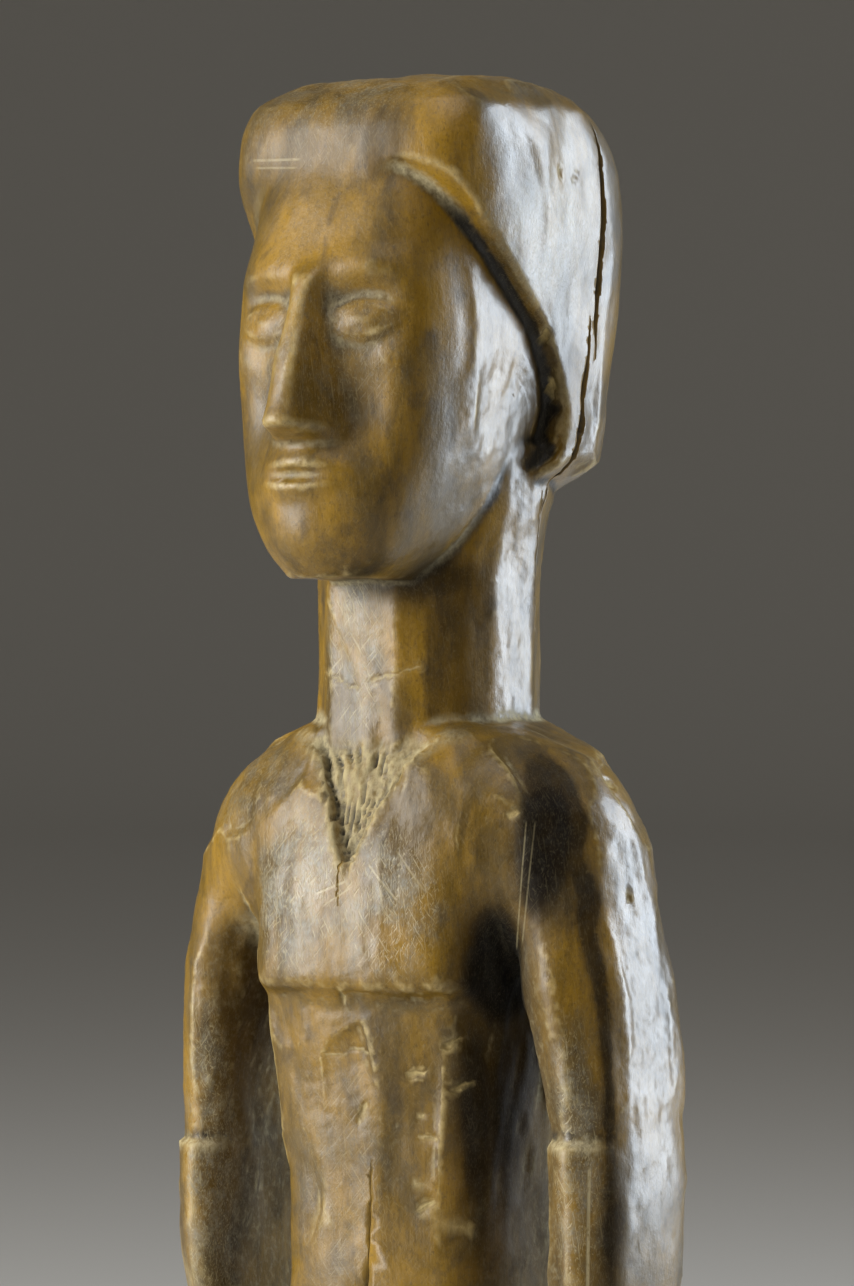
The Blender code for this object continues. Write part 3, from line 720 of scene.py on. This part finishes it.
shadeAndPatinaZones = [  # where the patina is darkest, and where shade is painted in as dark colour: place, half sizes, strength
    ((21, -9, 152), (4.2, 6.5, 12), 0.95),  # painted shade on the left shoulder's front
    ((15.6, -8.5, 138), (4.4, 11, 12), 1),  # painted shadow in the hollow under the left arm
    ((15.8, -7, 118), (4.6, 14, 27), 1),
    ((12.8, -10.4, 118), (2.6, 4.8, 24), 0.85),  # painted shade on the body's left edge
    ((28.5, -8, 106), (1.9, 3.2, 22), 0.75),  # painted shade on the left forearm's narrow side
    ((-18, -5, 116), (4.4, 12, 26), 0.6),  # painted shadow in the hollow inside the right arm
    ((-14.5, -6, 141), (4, 8, 8), 0.5),
    ((8.4, -8.6, 172), (3, 3.2, 12), 0.55),  # painted shade on the neck's planes
    ((4, -9, 180.5), (11, 8, 3.6), 0.7),
    ((0, 16, 168), (12, 8, 10), 0.5),
    ((6.5, -18, 227), (3.4, 4, 6), 0.6),  # the hair
    ((-5, -18.5, 228), (13, 6, 8), 0.28),
    ((2, 12, 222), (9, 9, 10), 0.3),
    ((15, 3, 200), (4, 6, 9), 0.35),
    ((0, -6, 58), (7, 12, 12), 0.6),  # painted shade between the legs
    ((0, 0, 13), (22, 24, 5), 0.5),  # the base's top
]
filmAndSheenZones = [  # where a greyish film of dust and wear lies, whose colour also paints in the lamps' sheen
    ((-6.5, -16.8, 148), (8.5, 5, 11), 0.9),  # the chest
    ((5.5, -16.5, 146), (7, 5, 9), 0.7),
    ((-3, -14.2, 116), (8, 4, 16), 0.2),  # the belly
    ((-15, -9, 157), (9, 8, 8), 0.3),  # the right shoulder
    ((25.4, -10.8, 118), (3.2, 4, 18), 0.65),  # the left arm's front
    ((-24, -10, 114), (4, 5, 24), 0.65),  # the right arm's front
    ((-2.4, -12, 172), (5, 4, 11), 0.7),  # the neck's front
    ((-6, -18, 229), (13, 5, 6), 0.15),  # the hair
    ((0, -5, 235), (16, 17, 8), 0.6),
    ((17, -4, 216), (3, 12, 12), 0.5),
    ((0, -22, 204), (12, 8, 10), 0.25),  # the face
]
fullDepth = {"junction": 0.06, "fine": 0.07, "broad": 0.5}  # how deep a hollow gets the most dust or darkening
junction = np.clip(smoothed(junctions[:, None], edges, 4)[:, 0] / fullDepth["junction"], 0, 1)
# painted shade, in black: the gaps between the torn strands, the line over the elbows' ledges and the cut
# under the hair's edge
paintedShadeLines = np.maximum(np.maximum(gaps, 0.85 * elbowShadeLine), 0.95 * paintedGrooveShadow(verts, junction))
layers = {
    "fineHollow": np.clip(cavities(verts, tris, edges, 5) / fullDepth["fine"], -1, 1),
    "junction": np.maximum(junction * dustPlaces(verts), elbowDust),
    "broadHollow": np.clip(cavities(verts, tris, edges, 70) / fullDepth["broad"], -1, 1),
    "bare": np.clip(bare, 0, 1),
    "inner_shade_and_dust": innerShadeSide * (1 - 0.85 * np.where(verts[:, 0] > 0, zones(verts, shadeAndPatinaZones), 0)),
    "torn": np.clip(notchMask, 0, 1),
    "gaps": np.clip(paintedShadeLines, 0, 1),
    "polish": easeStep(58, 80, np.abs(turned)) * easeStep(150, 120, np.abs(turned)) * (1 - innerShadeSide),
    # the darkest patina and the painted shade, from the zones and from the sides turned between the lamps
    "shade_and_patina": np.maximum(zones(verts, shadeAndPatinaZones), paintedShadeSide),
    "film_and_sheen": zones(verts, filmAndSheenZones),
    "painted_crack_shade": np.zeros(len(verts)),
}
skin = putMesh("figure_skin", verts, tris)
for name, values in layers.items():
    addLayer(skin, name, values)
keep = skin.vertex_groups.new(name="thinning")  # above 125 mm more of the triangles stay
band = np.round((1 - 0.6 * easeStep(100, 125, verts[:, 2])) * 8).astype(int)
for level in np.unique(band):
    keep.add(np.flatnonzero(band == level).tolist(), level / 8, "REPLACE")
thin = skin.modifiers.new("thin", "DECIMATE")
thin.ratio = min(1.0, shape["triangles"] / len(tris))
thin.vertex_group = "thinning"
thin.vertex_group_factor = 1.0
applied(skin)
print("skin thinned to", len(skin.data.polygons), "triangles")


crackCut = {
    "steps": 24,
    "waver": 0.12,  # how far the line strays to either side
    "lip": 2.5,  # how far out of the wood the wedge starts
    "flare": 1.6,  # how much wider it is out there
}


def crackWedge(route, facing, opening, depth):
    # a wedge down a route, open outwards and sharp within, opening * sin(pi t)^0.6 wide and a little uneven
    steps = crackCut["steps"]
    rows = curveThrough([(p[2], p[0], p[1]) for p in route], steps)
    rng = np.random.default_rng(int(rows[0, 0]))
    facing = unit(facing)
    across = np.cross(facing, (0, 0, 1))
    t = np.linspace(0, 1, steps)
    bulge = np.maximum(0.1, np.sin(np.pi * (t * 0.94 + 0.03)) ** 0.6)
    half = opening / 2 * bulge * rng.uniform(0.8, 1.2, steps)
    stray = crackCut["waver"] * rng.uniform(-1, 1, steps)[:, None] * across
    spot = np.stack([rows[:, 1], rows[:, 2], rows[:, 0]], 1) + stray
    lip = spot + facing * crackCut["lip"]
    wide = across * half[:, None] * crackCut["flare"]
    left, right = lip - wide, lip + wide
    root = spot - facing * (depth * np.maximum(0.25, half / opening * 2))[:, None]
    return closedGrid(np.stack([left, right, root], 1))


for i, crack in enumerate(cracks):
    tool = putMesh("crack_tool", *crackWedge(*crack))
    # the wedge's faces become the crack's walls, which are painted black as shade
    addLayer(tool, "painted_crack_shade", np.ones(len(tool.data.vertices)))
    before = len(skin.data.polygons)
    cutAway(skin, tool)
    print("crack", i, before, "->", len(skin.data.polygons))
skin.vertex_groups.clear()
skin.data.shade_smooth()


def hexColour(code):  # sRGB hex to linear, with an alpha of one
    parts = [int(code[i:i + 2], 16) / 255 for i in (1, 3, 5)]
    return [c / 12.92 if c <= 0.04045 else ((c + 0.055) / 1.055) ** 2.4 for c in parts] + [1.0]


def addNode(tree, kind, links=(), inputs=(), **settings):
    # links are pairs of a socket and its source, and inputs are pairs of a socket and its value
    node = tree.nodes.new("ShaderNode" + kind)
    for key, value in settings.items():
        setattr(node, key, value)
    for socket, value in inputs:
        node.inputs[socket].default_value = value
    for socket, source in links:
        tree.links.new(source, node.inputs[socket])
    return node


# old oiled hardwood, cut with a knife and handled for years: brown over orange, worn edges, dust in the cuts,
# with shade and sheen painted in as colour
wood = {
    "orange": "#86650e",
    "brown": "#58430d",
    "dark": "#20170a",
    "dust": "#a99d78",
    # the greyish film, which also stands for painted sheen
    "film_and_sheen": "#86877c",
    "bare": "#b7a36e",
    # black, for painted shade and the darkest patina
    "black": "#0b0806",
    "poreWidth": 0.25,
    "poreLength": 4.0,
    "patch": 9.0,  # how wide the orange and brown patches are
    "blotch": 3.2,
    "streakWidth": 1.1,
    "streakLength": 26,
    "filmAndSheenShare": 0.75,  # how much the film with its painted sheen, the dust and the scratches cover
    "dustShare": 0.85,
    "scratchShare": 0.6,
    "plainCoat": 0.1,  # the clear shine on the plain wood and on the handled sides
    "polishedCoat": 0.4,
    "coatRoughness": 0.24,
    "ior": 1.5,
    "bump": 0.35,
    "bumpDistance": 0.0001,  # metres
}


madeScratches = [  # start, end, facing, width, strength
    ((-11.5, -17.9, 225.7), (-4.2, -18.5, 225.4), (-0.1, -1, 0), 0.4, 0.6),
    ((-11.2, -17.9, 224.9), (-4.6, -18.5, 224.5), (-0.1, -1, 0), 0.35, 0.5),
    ((19.6, -10.6, 154.9), (18.6, -11.2, 140.8), (0.5, -0.8, 0), 0.24, 0.5),
    ((20.4, -10.1, 154.9), (19.2, -10.9, 141.6), (0.5, -0.8, 0), 0.24, 0.4),
    ((27.2, -10, 118.6), (26.9, -10, 98), (0.6, -0.8, 0), 0.5, 1),
    ((-3.6, -17.2, 146.6), (0.6, -17.2, 148.2), (0, -1, 0), 0.4, 0.8),
    ((-2.4, -17.2, 145.4), (1.4, -17.2, 147.6), (0, -1, 0), 0.3, 0.7),
    ((3, -16.6, 150.2), (7.2, -16, 146), (0.1, -1, 0), 0.35, 0.7),
    ((6.4, -16.4, 151.6), (10, -15.6, 147.2), (0.2, -1, 0), 0.3, 0.6),
]


def oiledWood():
    material = bpy.data.materials.new("oiled_hardwood")
    material.use_nodes = True
    tree = material.node_tree
    shader = tree.nodes["Principled BSDF"]
    place = addNode(tree, "TexCoord").outputs["Object"]

    def scaled(width, length):  # the object's coordinates in units of the pattern, which runs up the log
        size = (1000 / width, 1000 / width, 1000 / length)
        return addNode(tree, "Mapping", [("Vector", place)], [("Scale", size)]).outputs[0]

    def noise(vector, detail=3.0, rough=0.55, warp=0.0):
        values = [("Scale", 1.0), ("Detail", detail), ("Roughness", rough), ("Distortion", warp)]
        return addNode(tree, "TexNoise", [("Vector", vector)], values).outputs[0]

    def remap(value, low, high, toLow=0.0, toHigh=1.0):
        values = [(1, low), (2, high), (3, toLow), (4, toHigh)]
        return addNode(tree, "MapRange", [(0, value)], values).outputs[0]

    def sort(pairs):  # splits sockets into links and plain values
        links = [p for p in pairs if isinstance(p[1], bpy.types.NodeSocket)]
        return links, [p for p in pairs if p not in links]

    def mixed(factor, first, second):
        pairs = sort([(0, factor), (6, first), (7, second)])
        return addNode(tree, "Mix", *pairs, data_type="RGBA").outputs[2]

    def maths(kind, first, second):
        return addNode(tree, "Math", *sort([(0, first), (1, second)]), operation=kind).outputs[0]

    def layer(name):
        return addNode(tree, "Attribute", attribute_name=name).outputs["Fac"]

    def scratches(turn, seed):  # thin straight marks, from noise drawn out long at a slant
        turning = [("Rotation", (0, math.radians(turn), seed))]
        slant = addNode(tree, "Mapping", [("Vector", place)], turning).outputs[0]
        drawing = [("Scale", (9000, 4000, 220)), ("Location", (seed, 0, 0))]
        long = addNode(tree, "Mapping", [("Vector", slant)], drawing).outputs[0]
        return remap(noise(long, 1, 0.4), 0.6, 0.72, 0, 0.7)

    def most(*values):  # the greatest of several
        out = values[0]
        for value in values[1:]:
            out = maths("MAXIMUM", out, value)
        return out

    def product(*values):
        out = values[0]
        for value in values[1:]:
            out = maths("MULTIPLY", out, value)
        return out

    def oneScratch(start, end, facing, width, strength):
        # by the distance across a straight line, seen along its facing
        start, end = Vector(start) / 1000, Vector(end) / 1000
        way, length = (end - start).normalized(), (end - start).length
        facing = Vector(facing).normalized()
        kind = "VectorMath"
        gap = addNode(tree, kind, [(0, place)], [(1, start)], operation="SUBTRACT").outputs[0]

        def part(direction):
            return addNode(tree, kind, [(0, gap)], [(1, direction)], operation="DOT_PRODUCT").outputs[1]

        def size(value):
            return maths("ABSOLUTE", value, 0.0)

        fromMiddle = size(maths("SUBTRACT", part(way), length / 2))
        return product(
            remap(size(part(way.cross(facing).normalized())), width / 2000, width / 5000, 0, strength),
            remap(fromMiddle, length / 2, length / 2 - 0.0006),
            remap(size(part(facing)), 0.003, 0.0025),
            remap(speck, 0.3, 0.5, 0.4, 1),
        )

    tone = {name: hexColour(code) for name, code in wood.items() if isinstance(code, str)}
    patches = noise(scaled(wood["patch"], wood["patch"] * 1.8), 5, 0.6, 0.6)
    blotches = noise(scaled(wood["blotch"], 5.0), 4, 0.6, 0.4)
    streaks = noise(scaled(wood["streakWidth"], wood["streakLength"]), 3, 0.6)
    pores = noise(scaled(wood["poreWidth"], wood["poreLength"]), 2, 0.5)
    speck = noise(scaled(0.7, 0.9), 3, 0.65)
    grit = noise(scaled(0.35, 0.45), 2, 0.6)
    broad, fine, bareMask, tornMask = layer("broadHollow"), layer("fineHollow"), layer("bare"), layer("torn")
    inner_shade_and_dust, shade_and_patina, filmAndSheenMask, painted_crack_shade = layer("inner_shade_and_dust"), layer("shade_and_patina"), layer("film_and_sheen"), layer("painted_crack_shade")
    polish = layer("polish")

    # what lies on the wood: film with painted sheen, dust in the cuts and junctions, and scratches
    cloud = remap(noise(scaled(4, 5), 7, 0.75), 0.45, 0.57)
    film_and_sheen = product(cloud, remap(grit, 0.35, 0.65, 0.25, 0.8), remap(filmAndSheenMask, 0, 1, 0.08, 1))
    dusty = most(
        product(remap(fine, 0.35, 1.0), remap(speck, 0.3, 0.65, 0.1, 0.7)),
        product(remap(layer("junction"), 0.1, 0.9), remap(speck, 0.35, 0.6, 0.3, 0.95)),
        product(tornMask, remap(speck, 0.35, 0.6, 0.2, 0.8)),
        product(inner_shade_and_dust, remap(speck, 0.5, 0.75, 0, 0.25)),
    )
    dusty = product(dusty, remap(shade_and_patina, 0.3, 0.9, 1, 0.1))
    scratched = most(scratches(35, 1), scratches(-42, 2), scratches(8, 3))
    scratched = product(scratched, remap(filmAndSheenMask, 0, 0.6, 0.15, 1))
    scratched = most(scratched, *[oneScratch(*made) for made in madeScratches])

    # the colour: each of these lies over what comes before it
    colour = mixed(remap(patches, 0.39, 0.61), tone["orange"], tone["brown"])
    coats = [
        (remap(streaks, 0.35, 0.7, 0, 0.25), "dark"),
        (remap(blotches, 0.53, 0.67, 0, 0.4), "dark"),
        (remap(pores, 0.6, 0.72, 0, 0.2), "dark"),
        (product(remap(fine, -0.4, -1.0, 0, 0.6), remap(speck, 0.35, 0.6, 0.3, 1)), "bare"),  # worn edges
        (remap(grit, 0.55, 0.7, 0, 0.3), "dark"),
        (remap(broad, 0.25, 0.8, 0, 0.75), "dark"),  # darker in the broad hollows
        # the darkest patina and the painted shade: darker, then black
        (product(shade_and_patina, remap(blotches, 0.3, 0.55, 0.85, 1)), "dark"),
        (remap(shade_and_patina, 0.6, 1.0, 0, 0.9), "black"),
        # painted shade on the inner sides
        (product(inner_shade_and_dust, 0.5), "dark"),
        (product(film_and_sheen, wood["filmAndSheenShare"]), "film_and_sheen"),
        (product(dusty, wood["dustShare"]), "dust"),
        # painted shade, black in the gaps, over the elbows' ledges and under the hair's edge
        (layer("gaps"), "black"),
        (product(scratched, wood["scratchShare"]), "dust"),
        (product(bareMask, remap(speck, 0.3, 0.6, 0.4, 1)), "bare"),
        # painted shade, black inside the cracks
        (remap(painted_crack_shade, 0.0, 0.2), "black"),
    ]
    for share, name in coats:
        colour = mixed(share, colour, tone[name])
    tree.links.new(colour, shader.inputs["Base Color"])

    # the shine: dust, bare wood, patina and painted shade are dull, and the handled sides are polished
    dull = most(dusty, bareMask, inner_shade_and_dust, painted_crack_shade)
    gloss = maths("ADD", remap(blotches, 0.3, 0.7, 0.36, 0.52), product(most(dull, product(shade_and_patina, 0.5)), 0.4))
    gloss = maths("SUBTRACT", gloss, product(polish, 0.04))
    tree.links.new(gloss, shader.inputs["Roughness"])
    coat = remap(polish, 0, 1, wood["plainCoat"], wood["polishedCoat"])
    shine = product(coat, remap(dull, 0, 0.6, 1, 0), remap(shade_and_patina, 0.2, 0.8, 1, 0))
    tree.links.new(shine, shader.inputs["Coat Weight"])
    spare = product(remap(most(polish, filmAndSheenMask), 0, 0.8, 0.32, 0.5), remap(shade_and_patina, 0.2, 0.9, 1, 0.3))
    tree.links.new(spare, shader.inputs["Specular IOR Level"])
    shader.inputs["Coat Roughness"].default_value = wood["coatRoughness"]
    shader.inputs["IOR"].default_value = wood["ior"]

    # the finest relief: pores, small lumps, dust and scratches
    height = product(remap(pores, 0.5, 0.7, 0, -1), 0.12)
    height = maths("ADD", height, product(noise(scaled(1.5, 1.7), 5, 0.66), 2.8))
    height = maths("ADD", height, product(maths("SUBTRACT", dusty, scratched), 0.7))
    relief = [("Strength", wood["bump"]), ("Distance", wood["bumpDistance"])]
    bump = addNode(tree, "Bump", [("Height", height)], relief)
    tree.links.new(bump.outputs[0], shader.inputs["Normal"])
    return material


skin.data.materials.clear()
skin.data.materials.append(oiledWood())
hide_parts("twin_figure")
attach(skin, "root")
print("wood done")


studio = {
    "floorRadius": 4.5,  # metres, as are the other lengths here
    "floorBend": 1.2,  # the radius of the bend between floor and wall
    "wallHeight": 0.3,
    "cameraTurn": 35,  # degrees round from the front towards the figure's left
    "cameraHeight": 0.1736,
    "cameraAway": 0.600,
    "cameraShift": 0.00055,  # how far past the figure's middle it points, to the picture's left
    "frameHeight": 0.1407,
    "sensor": 36,  # millimetres
    "paint": "#cfccc6",
    "paintRoughness": 0.9,
    "airStrength": 0.2,
    "lightAim": 0.17,  # the height that the lights are turned to
}
# name, turn from the camera's side towards the figure's left, rise, distance, size, watts, colour
softBoxes = [
    ("key_box", -76, 10, 1.0, (0.5, 0.8), 18.5, "#fdfdfc"),
    ("side_box", 108, 8, 0.9, (0.28, 0.9), 12.0, "#dfedfc"),
    ("top_box", -10, 68, 1.1, (0.7, 0.7), 6.0, "#fff8f0"),
]


def studioFloor(cols=96):  # a flat disc whose rim turns up into a round wall
    r, bend, wall = studio["floorRadius"], studio["floorBend"], studio["wallHeight"]
    b = np.linspace(0, np.pi / 2, 14)[1:]
    up = np.linspace(0.1, 1, 6)
    radius = np.concatenate([np.linspace(0.02, 1, 12) * r, r + bend * np.sin(b), np.full(6, r + bend)])
    rise = np.concatenate([np.zeros(12), bend * (1 - np.cos(b)), bend + wall * up])
    turn = np.linspace(0, 2 * np.pi, cols, endpoint=False)
    flat = [np.outer(radius, np.cos(turn)), np.outer(radius, np.sin(turn))]
    points = np.stack([*flat, np.outer(rise, np.ones(cols))], 2)
    faces = ringQuads(len(radius), cols).tolist() + [list(range(cols))[::-1]]
    mesh = bpy.data.meshes.new("studio_floor")
    mesh.from_pydata(points.reshape(-1, 3).tolist(), [], faces)
    mesh.shade_smooth()
    paint = bpy.data.materials.new("pale_floor_paint")
    paint.use_nodes = True
    inputs = paint.node_tree.nodes["Principled BSDF"].inputs
    inputs["Base Color"].default_value = hexColour(studio["paint"])
    inputs["Roughness"].default_value = studio["paintRoughness"]
    mesh.materials.append(paint)
    linked("studio_floor", mesh)


def softBox(name, turn, rise, away, size, power, colour):
    a, e = math.radians(studio["cameraTurn"] + turn), math.radians(rise)
    way = Vector((math.sin(a) * math.cos(e), -math.cos(a) * math.cos(e), math.sin(e)))
    lamp = bpy.data.lights.new(name, "AREA")
    lamp.shape = "RECTANGLE"
    lamp.size, lamp.size_y = size
    lamp.energy = power
    lamp.color = hexColour(colour)[:3]
    made = linked(name, lamp)
    made.location = Vector((0, 0, studio["lightAim"])) + way * away
    made.rotation_euler = way.to_track_quat("Z", "Y").to_euler()


studioFloor()
world = bpy.data.worlds.new("studio_air")
world.use_nodes = True
air = world.node_tree.nodes["Background"].inputs
air["Color"].default_value = hexColour(studio["paint"])
air["Strength"].default_value = studio["airStrength"]
bpy.context.scene.world = world
for box in softBoxes:
    softBox(*box)

lens = bpy.data.cameras.new("camera")
lens.sensor_width = studio["sensor"]
lens.lens = studio["sensor"] * studio["cameraAway"] / studio["frameHeight"]
camera = linked("camera", lens)
turn = math.radians(studio["cameraTurn"])
across = Vector((math.cos(turn), math.sin(turn), 0))
aim = Vector((0, 0, studio["cameraHeight"])) - across * studio["cameraShift"]
way = Vector((math.sin(turn), -math.cos(turn), 0))
camera.location = aim + way * studio["cameraAway"]
camera.rotation_euler = way.to_track_quat("Z", "Y").to_euler()
bpy.context.scene.camera = camera
bpy.context.scene.view_settings.view_transform = "Standard"

print("scene ready")
